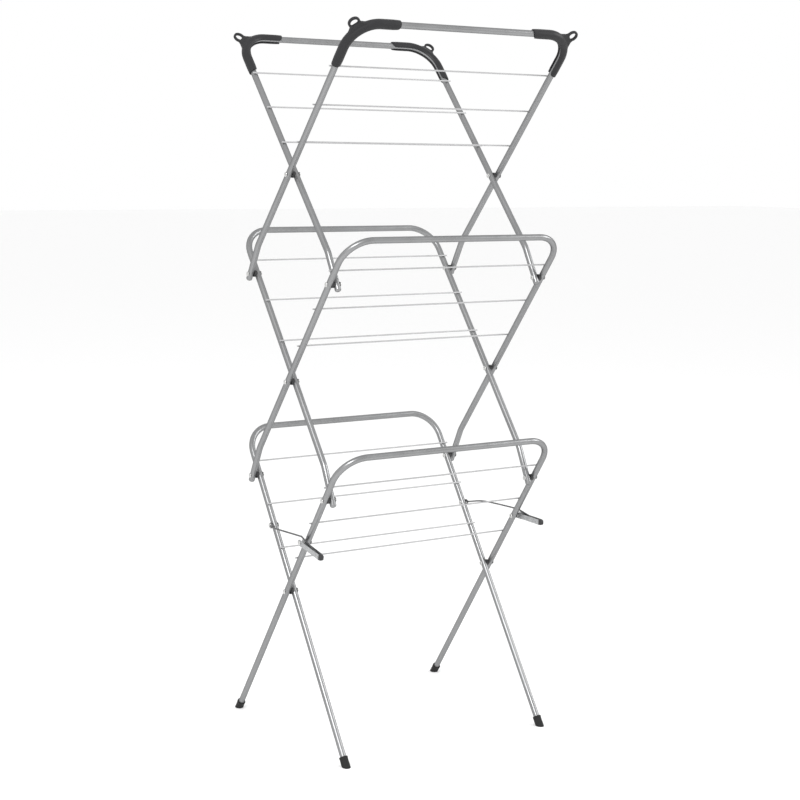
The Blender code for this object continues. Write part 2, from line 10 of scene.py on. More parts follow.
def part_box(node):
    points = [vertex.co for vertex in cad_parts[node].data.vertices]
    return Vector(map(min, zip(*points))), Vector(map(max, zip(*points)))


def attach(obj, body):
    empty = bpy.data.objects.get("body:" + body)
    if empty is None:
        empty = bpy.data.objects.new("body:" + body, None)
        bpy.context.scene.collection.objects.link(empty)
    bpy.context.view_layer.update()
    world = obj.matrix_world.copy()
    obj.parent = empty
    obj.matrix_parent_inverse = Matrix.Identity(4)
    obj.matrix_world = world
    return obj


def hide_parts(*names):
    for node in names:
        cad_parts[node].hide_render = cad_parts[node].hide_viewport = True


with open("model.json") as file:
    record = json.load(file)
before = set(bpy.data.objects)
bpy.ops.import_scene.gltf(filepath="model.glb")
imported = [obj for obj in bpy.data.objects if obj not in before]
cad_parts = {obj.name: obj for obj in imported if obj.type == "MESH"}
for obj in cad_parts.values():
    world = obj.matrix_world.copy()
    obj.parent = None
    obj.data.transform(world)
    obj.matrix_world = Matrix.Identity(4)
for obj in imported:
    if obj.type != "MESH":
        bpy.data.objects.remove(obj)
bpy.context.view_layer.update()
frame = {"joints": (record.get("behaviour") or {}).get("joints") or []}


# ---- Tube frames ----
# Six U-shaped frames, each bent from one length of thin 12 mm steel tube and coated in
# silver-grey enamel.  The middle and top frames have closed lower ends, set over by a few
# degrees so that the folded tiers lie flat on each other.
TUBE_RADIUS = 0.006
TUBE_CORNER = 0.055
SET_OVER = math.radians(12.0)
SET_LENGTH = 0.066
SET_BEND = 0.060
TUBE_TAIL = 0.015
TUBE_DOME = 0.0042
FOOT_GAP = 0.003

places = {joint["name"]: Vector(joint["pos_m"]) for joint in frame["joints"]}
crossings = (places["main_fold"], places["middle_cross_fold"], places["top_cross_fold"])
link = (places["middle_front_fold"] - crossings[0]).length
lower_lean = math.acos((crossings[1] - crossings[0]).z / 2 / link)
middle_lean = math.acos((crossings[2] - crossings[1]).z / 2 / link)
leans = (lower_lean, middle_lean, 2 * middle_lean - lower_lean)
floor_reach = crossings[0].z / math.cos(lower_lean)
FRONT = 1
BACK = -1
TIERS = ("lower", "middle", "top")


class TubeFrame:
    """One frame, with its own plane: X across the rack, Z up its legs from the crossing rivet."""

    def __init__(self, tier, facing):
        self.tier = tier
        self.facing = facing
        self.body = TIERS[tier] + ("_front" if facing == FRONT else "_back")
        self.node = self.body + "_frame"
        low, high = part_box(self.node)
        self.across = high[0] - TUBE_RADIUS
        self.reach = (high[2] - TUBE_RADIUS - crossings[tier].z) / math.cos(leans[tier])
        turn = Matrix.Rotation(facing * leans[tier], 4, "X")
        self.matrix = Matrix.Translation(crossings[tier]) @ turn

    def fit(self, piece, slot, *nodes):
        """Puts a piece made in this frame's plane in its place, on this frame's body."""
        piece.matrix_world = self.matrix
        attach(piece, self.body)
        if nodes:
            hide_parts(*nodes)


frames = [TubeFrame(tier, facing) for tier in range(3) for facing in (FRONT, BACK)]


def finish_piece(name, build, material, sharp=40.0):
    """Makes a smooth-shaded object of a bmesh."""
    bmesh.ops.recalc_face_normals(build, faces=build.faces[:])
    mesh = bpy.data.meshes.new(name)
    build.to_mesh(mesh)
    build.free()
    mesh.shade_smooth()
    mesh.set_sharp_from_angle(angle=math.radians(sharp))
    mesh.materials.append(material)
    piece = bpy.data.objects.new(name, mesh)
    bpy.context.scene.collection.objects.link(piece)
    return piece


def sweep_round(build, path, radii, sides, first_side):
    """Skins a round bar along a path, with its own radius at each point and closed ends."""
    rings = []
    side = Vector(first_side)
    for index, point in enumerate(path):
        ahead = path[min(index + 1, len(path) - 1)]
        behind = path[max(index - 1, 0)]
        along = (ahead - behind).normalized()
        side = (side - along * side.dot(along)).normalized()
        other = along.cross(side)
        turns = [2 * math.pi * step / sides for step in range(sides)]
        ring = []
        for turn in turns:
            out = side * math.cos(turn) + other * math.sin(turn)
            ring.append(build.verts.new(point + out * radii[index]))
        rings.append(ring)
    for ring, following in zip(rings, rings[1:]):
        for step in range(sides):
            after = (step + 1) % sides
            build.faces.new((ring[step], ring[after], following[after], following[step]))
    build.faces.new(rings[0][::-1])
    build.faces.new(rings[-1])


def leg_line(tube):
    """Points (y, z) and radii up one leg, from its lower end to where the corner begins."""
    corner_start = tube.reach - TUBE_CORNER
    if tube.tier == 0:
        cut_end = floor_reach - FOOT_GAP - TUBE_RADIUS * math.tan(lower_lean)
        return [(0.0, -cut_end), (0.0, corner_start)], [TUBE_RADIUS, TUBE_RADIUS]
    offset = SET_LENGTH * math.sin(SET_OVER)
    bend_drop = math.sqrt(link ** 2 - offset ** 2) - SET_LENGTH * math.cos(SET_OVER)
    points = []
    radii = []
    end = SET_LENGTH + TUBE_TAIL
    for step in range(1, 8):
        angle = math.pi / 2 * step / 7
        back = end - TUBE_DOME * (1 - math.cos(angle))
        points.append((-tube.facing * back * math.sin(SET_OVER), -bend_drop - back * math.cos(SET_OVER)))
        radii.append(TUBE_RADIUS * math.sin(angle))
    half = SET_BEND * math.tan(SET_OVER / 2)
    for step in range(9):
        angle = SET_OVER * (1 - step / 8)
        shift = SET_BEND * (1 - math.cos(angle))
        points.append((-tube.facing * shift, half - bend_drop - SET_BEND * math.sin(angle)))
        radii.append(TUBE_RADIUS)
    points.append((0.0, corner_start))
    radii.append(TUBE_RADIUS)
    return points, radii


def node_material(name, roughness, metallic):
    """A Principled material and what is needed to wire more nodes into it."""
    material = bpy.data.materials.new(name)
    material.use_nodes = True
    nodes = material.node_tree.nodes
    shader = nodes["Principled BSDF"]
    shader.inputs["Roughness"].default_value = roughness
    shader.inputs["Metallic"].default_value = metallic
    return material, nodes, material.node_tree.links, shader


def grain(nodes, links, stretch, scale, detail=3.0):
    """Noise over the piece's own space, stretched along X, Y and Z; gives its height socket."""
    where = nodes.new("ShaderNodeTexCoord")
    mapping = nodes.new("ShaderNodeMapping")
    mapping.inputs["Scale"].default_value = stretch
    noise = nodes.new("ShaderNodeTexNoise")
    noise.inputs["Scale"].default_value = scale
    noise.inputs["Detail"].default_value = detail
    links.new(where.outputs["Object"], mapping.inputs["Vector"])
    links.new(mapping.outputs["Vector"], noise.inputs["Vector"])
    return noise.outputs["Fac"]


def shade_between(nodes, links, height, low, high, low_at=0.35, high_at=0.65):
    """Turns a height into a colour or a grey between two ends."""
    ramp = nodes.new("ShaderNodeValToRGB")
    ramp.color_ramp.elements[0].position = low_at
    ramp.color_ramp.elements[1].position = high_at
    ramp.color_ramp.elements[0].color = (*low, 1.0)
    ramp.color_ramp.elements[1].color = (*high, 1.0)
    links.new(height, ramp.inputs["Fac"])
    return ramp.outputs["Color"]


def emboss(nodes, links, shader, height, depth, strength=1.0):
    """Raises the surface by a height, depth metres at most."""
    bump = nodes.new("ShaderNodeBump")
    bump.inputs["Distance"].default_value = depth
    bump.inputs["Strength"].default_value = strength
    links.new(height, bump.inputs["Height"])
    links.new(bump.outputs["Normal"], shader.inputs["Normal"])


def silver_enamel():
    """Silver-grey metallic coating: fine flake, faint orange peel and a little cloudiness."""
    material, nodes, links, shader = node_material("silver_enamel", 0.30, 0.85)
    shader.inputs["Specular Tint"].default_value = (0.30, 0.30, 0.31, 1.0)
    shader.inputs["Coat Weight"].default_value = 0.10
    shader.inputs["Coat Roughness"].default_value = 0.25
    flake = grain(nodes, links, (1, 1, 1), 2600.0, 2.0)
    cloud = grain(nodes, links, (1, 1, 0.35), 22.0, 4.0)
    speckle = shade_between(nodes, links, flake, (0.235, 0.237, 0.240), (0.335, 0.338, 0.342))
    tone = shade_between(nodes, links, cloud, (0.90, 0.90, 0.90), (1.0, 1.0, 1.0))
    mix = nodes.new("ShaderNodeMix")
    mix.data_type = "RGBA"
    mix.blend_type = "MULTIPLY"
    mix.inputs["Factor"].default_value = 1.0
    links.new(speckle, mix.inputs[6])
    links.new(tone, mix.inputs[7])
    links.new(mix.outputs[2], shader.inputs["Base Color"])
    rough = shade_between(nodes, links, cloud, (0.26, 0.26, 0.26), (0.34, 0.34, 0.34))
    links.new(rough, shader.inputs["Roughness"])
    emboss(nodes, links, shader, grain(nodes, links, (1, 1, 1), 700.0, 2.0), 0.00004, 0.5)
    return material


enamel = silver_enamel()
for tube in frames:
    leg, leg_radii = leg_line(tube)
    half_path = [Vector((-tube.across, y, z)) for y, z in leg]
    corner_centre = Vector((TUBE_CORNER - tube.across, 0.0, tube.reach - TUBE_CORNER))
    for step in range(1, 17):
        angle = math.pi / 2 * step / 16
        half_path.append(corner_centre + TUBE_CORNER * Vector((-math.cos(angle), 0.0, math.sin(angle))))
    path = half_path + [Vector((-point.x, point.y, point.z)) for point in reversed(half_path)]
    half_radii = leg_radii + [TUBE_RADIUS] * 16
    build = bmesh.new()
    sweep_round(build, path, half_radii + half_radii[::-1], 32, (1, 0, 0))
    piece = finish_piece(tube.body + "_tube", build, enamel)
    tube.fit(piece, "silver_tube", tube.node)


# ---- Drying lines ----
# Three straight steel wires on each frame, laid across the upper face of its legs and
# spot-welded there, then coated with the frame.  Their ends stand a little past the tube.
LINE_RADIUS = 0.0015
LINE_TIP = 0.0013
WELD_LENGTH = 0.0034
WELD_WIDTH = 0.0019
WELD_RISE = 0.0010
WELD_SEAT = 0.0002


def pale_coating():
    """The same enamel on drawn wire: lighter, with faint drawing lines along it."""
    material, nodes, links, shader = node_material("pale_wire_coating", 0.38, 0.35)
    drawn = grain(nodes, links, (0.02, 1, 1), 2600.0, 2.0)
    colour = shade_between(nodes, links, drawn, (0.38, 0.38, 0.385), (0.48, 0.48, 0.485))
    links.new(colour, shader.inputs["Base Color"])
    rough = shade_between(nodes, links, drawn, (0.34, 0.34, 0.34), (0.46, 0.46, 0.46))
    links.new(rough, shader.inputs["Roughness"])
    emboss(nodes, links, shader, grain(nodes, links, (1, 1, 1), 900.0, 2.0), 0.00003, 0.5)
    return material


def weld_bead(build, place, length, width, height):
    """A low rounded bead, longest along X, at a place."""
    ball = bmesh.ops.create_uvsphere(build, u_segments=16, v_segments=10, radius=1.0)
    for vert in ball["verts"]:
        wobble = 1.0 + 0.08 * math.sin(5.0 * vert.co.x + 3.0 * vert.co.z + 40.0 * place.z)
        vert.co = place + Vector((vert.co.x * length, vert.co.y * height, vert.co.z * width)) * wobble


coated_wire = pale_coating()
for tube in frames:
    welds = bmesh.new()
    for number in (1, 2, 3):
        node = "{}_line_{}".format(tube.body, number)
        low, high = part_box(node)
        middle = tube.matrix.inverted() @ Vector((0.0, (low[1] + high[1]) / 2, (low[2] + high[2]) / 2))
        end = tube.across + TUBE_RADIUS + LINE_TIP
        build = bmesh.new()
        path = []
        radii = []
        for step in range(5):
            angle = math.pi / 2 * step / 4
            path.append(Vector((-end + LINE_RADIUS * 0.7 * (1 - math.cos(angle)), 0, 0)))
            radii.append(LINE_RADIUS * max(math.sin(angle), 0.15))
        path += [Vector((-point.x, 0, 0)) for point in reversed(path)]
        sweep_round(build, path, radii + radii[::-1], 16, (0, 0, 1))
        piece = finish_piece(node.replace("line", "wire"), build, coated_wire)
        piece.data.transform(Matrix.Translation(middle))
        tube.fit(piece, "pale_line", node)
        for side in (-1, 1):
            foot = Vector((side * tube.across, tube.facing * (TUBE_RADIUS + WELD_SEAT), middle.z))
            weld_bead(welds, foot, WELD_LENGTH, WELD_WIDTH, WELD_RISE)
    piece = finish_piece(tube.body + "_welds", welds, enamel)
    tube.fit(piece, "silver_tube")


# ---- Rivets and spacer bushes ----
# A zinc-plated tubular rivet joins each pair of crossing legs: a low domed head outside and a
# rolled end inside.  A black nylon bush keeps the tubes apart; it is saddled to the tube that
# carries the rivet, and turns flat against the other.
SHANK_RADIUS = 0.0024
HEAD_RADIUS = 0.0047
HEAD_RISE = 0.0018
PIECE_GAP = 0.0003
BUSH_RADIUS = 0.0064
BUSH_CLEAR = 0.0002
BUSH_BEVEL = 0.0004


def zinc_plate():
    """Bright zinc plating with small dark pits."""
    material, nodes, links, shader = node_material("zinc_plate", 0.30, 0.95)
    pits = grain(nodes, links, (1, 1, 1), 1800.0, 3.0)
    colour = shade_between(nodes, links, pits, (0.42, 0.42, 0.42), (0.66, 0.66, 0.65), 0.30, 0.60)
    links.new(colour, shader.inputs["Base Color"])
    rough = shade_between(nodes, links, pits, (0.38, 0.38, 0.38), (0.24, 0.24, 0.24))
    links.new(rough, shader.inputs["Roughness"])
    emboss(nodes, links, shader, pits, 0.00003, 0.6)
    return material


def black_nylon():
    """Moulded black nylon: fine spark-eroded grain and a slightly uneven gloss."""
    material, nodes, links, shader = node_material("black_nylon", 0.45, 0.0)
    shader.inputs["Specular IOR Level"].default_value = 0.45
    fine = grain(nodes, links, (1, 1, 1), 2200.0, 2.0)
    broad = grain(nodes, links, (1, 1, 1), 60.0, 3.0)
    colour = shade_between(nodes, links, fine, (0.016, 0.016, 0.017), (0.030, 0.030, 0.032))
    links.new(colour, shader.inputs["Base Color"])
    rough = shade_between(nodes, links, broad, (0.38, 0.38, 0.38), (0.54, 0.54, 0.54))
    links.new(rough, shader.inputs["Roughness"])
    emboss(nodes, links, shader, fine, 0.00005, 0.5)
    return material


def turn_profile(build, profile, side, place, sides=28):
    """Turns (x, radius) pairs about the X axis through a place; side mirrors them in X."""
    rings = []
    for along, radius in profile:
        x = side * along
        if radius <= 0:
            rings.append([build.verts.new(place + Vector((x, 0, 0)))])
            continue
        turns = [2 * math.pi * step / sides for step in range(sides)]
        rings.append([build.verts.new(place + Vector((x, radius * math.cos(turn), radius * math.sin(turn))))
                      for turn in turns])
    for ring, following in zip(rings, rings[1:]):
        for step in range(sides):
            after = (step + 1) % sides
            corners = [ring[step % len(ring)], ring[after % len(ring)],
                       following[after % len(following)], following[step % len(following)]]
            build.faces.new(list(dict.fromkeys(corners)))


def domed_head(start, rise, radius):
    """Profile of a domed head that grows along +X from its flat underside."""
    profile = [(start, SHANK_RADIUS), (start, radius * 0.97), (start + rise * 0.16, radius)]
    for step in range(1, 7):
        angle = math.pi / 2 * step / 6
        along = start + rise * (0.22 + 0.78 * math.sin(angle))
        profile.append((along, radius * (0.04 + 0.93 * math.cos(angle))))
    return profile[:-1] + [(start + rise, 0)]


def rolled_end(start, rise, radius):
    """Profile of a rolled tubular end that grows along -X: a rounded ring round a shallow hole."""
    profile = [(start + rise * 0.5, 0), (start + rise * 0.5, radius * 0.28)]
    for step in range(9):
        angle = math.pi * step / 8
        along = start - rise * (0.1 + 0.9 * math.sin(angle))
        profile.append((along, radius * (0.67 - 0.33 * math.cos(angle))))
    return profile + [(start, SHANK_RADIUS)]


zinc = zinc_plate()
nylon = black_nylon()
inner_across = frames[1].across
outer_across = frames[0].across
inside_face = inner_across - TUBE_RADIUS - PIECE_GAP
outside_face = outer_across + TUBE_RADIUS + PIECE_GAP
pivots = []
for tube in frames:
    if tube.facing == BACK:
        pivots.append((tube, TIERS[tube.tier] + "_cross_pivot", 0.0))
    if tube.tier < 2:
        pivots.append((tube, tube.body + "_joint_pivot", link))


def saddle_bush(build, tube, side, height):
    """A disc between the tubes whose rim reaches round the tube that carries it."""
    carried = tube.across
    other = outer_across if tube.facing == BACK else inner_across
    toward = 1 if other > carried else -1
    flat_x = other - toward * (TUBE_RADIUS + BUSH_CLEAR)
    rings = []
    fractions = (0.40, 0.62, 0.80, 0.93, 1.0)
    steps = 36
    for layer in ("saddle", "flat"):
        for fraction in (fractions if layer == "saddle" else fractions[::-1]):
            ring = []
            for step in range(steps):
                turn = 2 * math.pi * step / steps
                y = BUSH_RADIUS * fraction * math.cos(turn)
                z = BUSH_RADIUS * fraction * math.sin(turn)
                if layer == "saddle":
                    wrap = math.sqrt(max((TUBE_RADIUS + BUSH_CLEAR) ** 2 - y * y, 0.0))
                    wrap = max(wrap, TUBE_RADIUS * 0.52)
                    x = carried + toward * wrap
                else:
                    x = flat_x - toward * (BUSH_BEVEL if fraction == 1.0 else 0.0)
                ring.append(build.verts.new(Vector((side * x, y, z + height))))
            rings.append(ring)
    rings.append(rings[0])
    for ring, following in zip(rings, rings[1:]):
        for step in range(steps):
            after = (step + 1) % steps
            build.faces.new((ring[step], ring[after], following[after], following[step]))


for tube, name, height in pivots:
    for side, side_name in ((-1, "left"), (1, "right")):
        place = Vector((0.0, 0.0, height))
        build = bmesh.new()
        profile = rolled_end(inside_face, HEAD_RISE, HEAD_RADIUS)
        profile += domed_head(outside_face, HEAD_RISE, HEAD_RADIUS)
        turn_profile(build, profile, side, place)
        rivet = finish_piece("{}_rivet_{}".format(name[:-6], side_name), build, zinc)
        tube.fit(rivet, "zinc_rivet", "{}_{}".format(name, side_name))
        build = bmesh.new()
        saddle_bush(build, tube, side, height)
        bush = finish_piece("{}_bush_{}".format(name[:-6], side_name), build, nylon)
        tube.fit(bush, "charcoal_plastic")


# ---- Corner covers ----
# Four charcoal mouldings snapped over the corners of the top rails from outside.  Each is a
# C-shaped gutter with tongue-shaped ends, and a web at its back carries an eye for hanging
# the folded rack or a hanger.
COVER_INNER = TUBE_RADIUS + PIECE_GAP
COVER_OUTER = 0.0092
COVER_MOUTH = math.radians(27.0)
COVER_REACH = 0.094
COVER_TONGUE = 0.007
EYE_HOLE = 0.0070
EYE_RIM = 0.0045
EYE_HALF = 0.0029
COVER_VOXEL = 0.00075


def charcoal_moulding():
    """Matt charcoal polypropylene with a fine leathery grain and a slightly uneven gloss."""
    material, nodes, links, shader = node_material("charcoal_moulding", 0.50, 0.0)
    shader.inputs["Specular IOR Level"].default_value = 0.28
    fine = grain(nodes, links, (1, 1, 1), 1500.0, 3.0)
    broad = grain(nodes, links, (1, 1, 1), 35.0, 3.0)
    colour = shade_between(nodes, links, fine, (0.013, 0.013, 0.014), (0.023, 0.023, 0.025))
    links.new(colour, shader.inputs["Base Color"])
    rough = shade_between(nodes, links, broad, (0.44, 0.44, 0.44), (0.60, 0.60, 0.60))
    links.new(rough, shader.inputs["Roughness"])
    emboss(nodes, links, shader, fine, 0.00008, 0.6)
    return material


def gutter(build, tube, side):
    """The C-shaped gutter, from its end on the leg round the corner to its end on the rail."""
    corner = Vector((side * (tube.across - TUBE_CORNER), 0.0, tube.reach - TUBE_CORNER))
    straight = COVER_REACH - TUBE_CORNER
    stations = []
    for fraction in (1.0, 0.97, 0.93, 0.87, 0.79, 0.66, 0.4):
        place = Vector((side * tube.across, 0.0, tube.reach - TUBE_CORNER - straight * fraction))
        stations.append((place, Vector((-side, 0, 0)), Vector((0, 0, 1)), (fraction - 0.66) / 0.34))
    for step in range(19):
        angle = math.pi / 2 * step / 18
        out = Vector((side * math.cos(angle), 0.0, math.sin(angle)))
        along = Vector((-side * math.sin(angle), 0.0, math.cos(angle)))
        stations.append((corner + out * TUBE_CORNER, -out, along, 0.0))
    for fraction in (0.4, 0.66, 0.79, 0.87, 0.93, 0.97, 1.0):
        place = Vector((side * (tube.across - TUBE_CORNER - straight * fraction), 0.0, tube.reach))
        stations.append((place, Vector((0, 0, -1)), Vector((side, 0, 0)), (fraction - 0.66) / 0.34))
    steps = 28
    sections = []
    for place, mouth, along, tongue in stations:
        section = []
        for radius, order in ((COVER_OUTER, range(steps + 1)), (COVER_INNER, range(steps, -1, -1))):
            for step in order:
                turn = COVER_MOUTH + 2 * (math.pi - COVER_MOUTH) * step / steps
                from_back = abs(turn - math.pi) / (math.pi - COVER_MOUTH)
                draw = COVER_TONGUE * max(tongue, 0.0) * (1 - math.sqrt(max(1 - from_back ** 2, 0.0)))
                taper = 1.0 - 0.06 * max(tongue, 0.0) * (radius == COVER_OUTER)
                out = mouth * math.cos(turn) + Vector((0, 1, 0)) * math.sin(turn)
                section.append(build.verts.new(place + out * radius * taper + along * draw))
        sections.append(section)
    count = len(sections[0])
    for section, following in zip(sections, sections[1:]):
        for step in range(count):
            after = (step + 1) % count
            build.faces.new((section[step], section[after], following[after], following[step]))
    for section in (sections[0], sections[-1]):
        for step in range(steps):
            inner = count - 1 - step
            build.faces.new((section[step], section[step + 1], section[inner - 1], section[inner]))


def eye_ring(build, place):
    """A ring with rounded edges round the hanging hole."""
    profile = []
    for step in range(20):
        turn = 2 * math.pi * step / 20
        wide = math.copysign(abs(math.cos(turn)) ** 0.6, math.cos(turn))
        thick = math.copysign(abs(math.sin(turn)) ** 0.6, math.sin(turn))
        profile.append((EYE_HOLE + EYE_RIM / 2 * (1 + wide), EYE_HALF * thick))
    steps = 48
    rings = []
    for step in range(steps):
        turn = 2 * math.pi * step / steps
        out = Vector((math.cos(turn), 0.0, math.sin(turn)))
        rings.append([build.verts.new(place + out * radius + Vector((0, off, 0)))
                      for radius, off in profile])
    for step in range(steps):
        ring = rings[step]
        following = rings[(step + 1) % steps]
        for index in range(len(profile)):
            after = (index + 1) % len(profile)
            build.faces.new((ring[index], ring[after], following[after], following[index]))


def eye_web(build, tube, side):
    """The web between the gutter's back and the eye, flaring to both."""
    corner = Vector((side * (tube.across - TUBE_CORNER), 0.0, tube.reach - TUBE_CORNER))
    root = TUBE_CORNER + (COVER_OUTER + COVER_INNER) / 2
    eye = Vector((side * tube.across, 0.0, tube.reach))
    eye_reach = TUBE_CORNER * math.sqrt(2)
    rows = []
    for row in range(9):
        climb = row / 8
        reach = root + (eye_reach - EYE_HOLE * 0.2 - root) * climb
        flare = 0.0105 + 0.0125 * (1 - climb) ** 2.2
        thin = EYE_HALF * (0.86 + 0.55 * (1 - climb) ** 2)
        points = []
        for across in (-1.0, -0.6, -0.2, 0.2, 0.6, 1.0):
            angle = math.pi / 4 + math.atan(across * flare / reach)
            out = Vector((side * math.cos(angle), 0.0, math.sin(angle)))
            place = corner + out * reach
            apart = place - eye
            if apart.length < EYE_HOLE + EYE_RIM * 0.45:
                place = eye + apart.normalized() * (EYE_HOLE + EYE_RIM * 0.45)
            points.append(place)
        rows.append((points, thin))
    layers = []
    for face in (-1, 1):
        layers.append([[build.verts.new(point + Vector((0, face * thin, 0))) for point in points]
                       for points, thin in rows])
    for layer in layers:
        for row, following in zip(layer, layer[1:]):
            for left, right, above_right, above_left in zip(row, row[1:], following[1:], following):
                build.faces.new((left, right, above_right, above_left))
    low, high = layers
    for edge_low, edge_high in ((low[0], high[0]), (low[-1], high[-1]),
                                ([row[0] for row in low], [row[0] for row in high]),
                                ([row[-1] for row in low], [row[-1] for row in high])):
        for first, second, third, fourth in zip(edge_low, edge_low[1:], edge_high[1:], edge_high):
            build.faces.new((first, second, third, fourth))


moulding = charcoal_moulding()
for tube in frames[4:]:
    for side, side_name in ((-1, "left"), (1, "right")):
        facing = "front" if tube.facing == FRONT else "back"
        build = bmesh.new()
        gutter(build, tube, side)
        eye_ring(build, Vector((side * tube.across, 0.0, tube.reach)))
        eye_web(build, tube, side)
        cover = finish_piece("{}_{}_cover".format(facing, side_name), build, moulding, 60.0)
        knit = cover.modifiers.new("knit", "REMESH")
        knit.mode = "VOXEL"
        knit.voxel_size = COVER_VOXEL
        knit.use_smooth_shade = True
        ease = cover.modifiers.new("ease", "SMOOTH")
        ease.factor = 0.5
        ease.iterations = 5
        thin_out = cover.modifiers.new("thin_out", "DECIMATE")
        thin_out.ratio = 0.45
        tube.fit(cover, "charcoal_plastic", "{}_{}_corner_cover".format(facing, side_name))


# ---- Foot caps ----
# Four black rubber caps pushed over the open ends of the lowest legs, with a rolled mouth and
# a sole cut level with the floor.
FOOT_INNER = TUBE_RADIUS + PIECE_GAP
FOOT_OUTER = 0.0081
FOOT_HEIGHT = 0.020
FOOT_SIDES = 40


def black_rubber():
    """Matt black rubber, finely pebbled."""
    material, nodes, links, shader = node_material("black_rubber", 0.65, 0.0)
    shader.inputs["Specular IOR Level"].default_value = 0.25
    pebble = grain(nodes, links, (1, 1, 1), 1300.0, 3.0)
    colour = shade_between(nodes, links, pebble, (0.010, 0.010, 0.010), (0.020, 0.020, 0.020))
    links.new(colour, shader.inputs["Base Color"])
    rough = shade_between(nodes, links, pebble, (0.56, 0.56, 0.56), (0.76, 0.76, 0.76))
    links.new(rough, shader.inputs["Roughness"])
    emboss(nodes, links, shader, pebble, 0.00010, 0.6)
    return material


rubber = black_rubber()
for tube in frames[:2]:
    slope = tube.facing * math.tan(lower_lean)
    cut_end = floor_reach - FOOT_GAP - TUBE_RADIUS * math.tan(lower_lean)
    for side, side_name in ((-1, "left"), (1, "right")):
        build = bmesh.new()
        levels = [(0.0, FOOT_OUTER - 0.0009), (0.012, FOOT_OUTER - 0.0003),
                  (0.045, FOOT_OUTER), (0.30, FOOT_OUTER), (0.60, FOOT_OUTER - 0.0001),
                  (0.84, FOOT_OUTER - 0.0001), (0.87, FOOT_OUTER + 0.0003), (0.95, FOOT_OUTER + 0.0003),
                  (0.985, FOOT_OUTER), (1.0, FOOT_OUTER - 0.0006), (1.0, FOOT_INNER + 0.0002),
                  (0.98, FOOT_INNER)]
        rings = []
        for rise, radius in levels:
            ring = []
            for step in range(FOOT_SIDES):
                turn = 2 * math.pi * step / FOOT_SIDES
                y = radius * math.sin(turn)
                sole = -floor_reach - slope * y
                top = -floor_reach + FOOT_HEIGHT
                z = sole + (top - sole) * rise
                ring.append(build.verts.new((side * tube.across + radius * math.cos(turn), y, z)))
            rings.append(ring)
        inside = [build.verts.new((vert.co.x, vert.co.y, -cut_end - PIECE_GAP)) for vert in rings[-1]]
        rings.append(inside)
        for ring, following in zip(rings, rings[1:]):
            for step in range(FOOT_SIDES):
                after = (step + 1) % FOOT_SIDES
                build.faces.new((ring[step], ring[after], following[after], following[step]))
        build.faces.new(rings[0][::-1])
        build.faces.new(rings[-1])
        where = "back" if tube.facing == FRONT else "front"
        foot = finish_piece("{}_{}_foot_cap".format(where, side_name), build, rubber, 50.0)
        tube.fit(foot, "charcoal_plastic", "{}_{}_foot".format(where, side_name))


# ---- Lock levers ----
# A short pressed channel on each front leg swings on its own rivet.  It is folded from thin
# zinc-plated strip, open upward, and its free end carries a black moulded finger tip.
LEVER_HALF = 0.0048
LEVER_WALL = 0.0011
LEVER_TAIL = 0.0065
LEVER_TAIL_RADIUS = 0.0064
LEVER_BODY = 0.073
LEVER_TIP = 0.080
LEVER_NECK = 0.012
LEVER_NECK_HALF = 0.0059
LEVER_STRAIGHT = 0.022
LEVER_STANDOFF = 0.0022
LEVER_LOW = -0.0055
LEVER_HIGH = 0.0055
LEVER_MIDDLE = outer_across + TUBE_RADIUS + LEVER_STANDOFF + LEVER_HALF
LEVER_ARM = 0.067
TIP_SIDES = 28
DROOPS = {"left": math.radians(10.0), "right": math.radians(1.0)}


def pressed_steel():
    """Zinc-plated strip: rolling lines along the lever and a soft spangle."""
    material, nodes, links, shader = node_material("pressed_steel", 0.38, 0.85)
    rolled = grain(nodes, links, (1, 0.03, 1), 1900.0, 2.0)
    spangle = grain(nodes, links, (1, 1, 1), 320.0, 2.0)
    colour = shade_between(nodes, links, spangle, (0.33, 0.335, 0.34), (0.46, 0.465, 0.47))
    links.new(colour, shader.inputs["Base Color"])
    rough = shade_between(nodes, links, rolled, (0.30, 0.30, 0.30), (0.46, 0.46, 0.46))
    links.new(rough, shader.inputs["Roughness"])
    emboss(nodes, links, shader, rolled, 0.00002, 0.5)
    return material


def channel_section(top, bottom, steps=5):
    """Half outline of the folded strip, outside then inside, from its upper edge to the middle."""
    bend = min(0.0018, (top - bottom) * 0.45)
    outside = [(LEVER_HALF - 0.0002, top), (LEVER_HALF, top - 0.0002)]
    for step in range(steps + 1):
        turn = math.pi / 2 * step / steps
        outside.append((LEVER_HALF - bend + bend * math.cos(turn), bottom + bend - bend * math.sin(turn)))
    inner_bend = max(bend - LEVER_WALL, 0.0002)
    inside = [(LEVER_HALF - LEVER_WALL + 0.0002, top), (LEVER_HALF - LEVER_WALL, top - 0.0002)]
    for step in range(steps + 1):
        turn = math.pi / 2 * step / steps
        inside.append((LEVER_HALF - LEVER_WALL - inner_bend + inner_bend * math.cos(turn),
                       bottom + LEVER_WALL + inner_bend - inner_bend * math.sin(turn)))
    return outside, inside


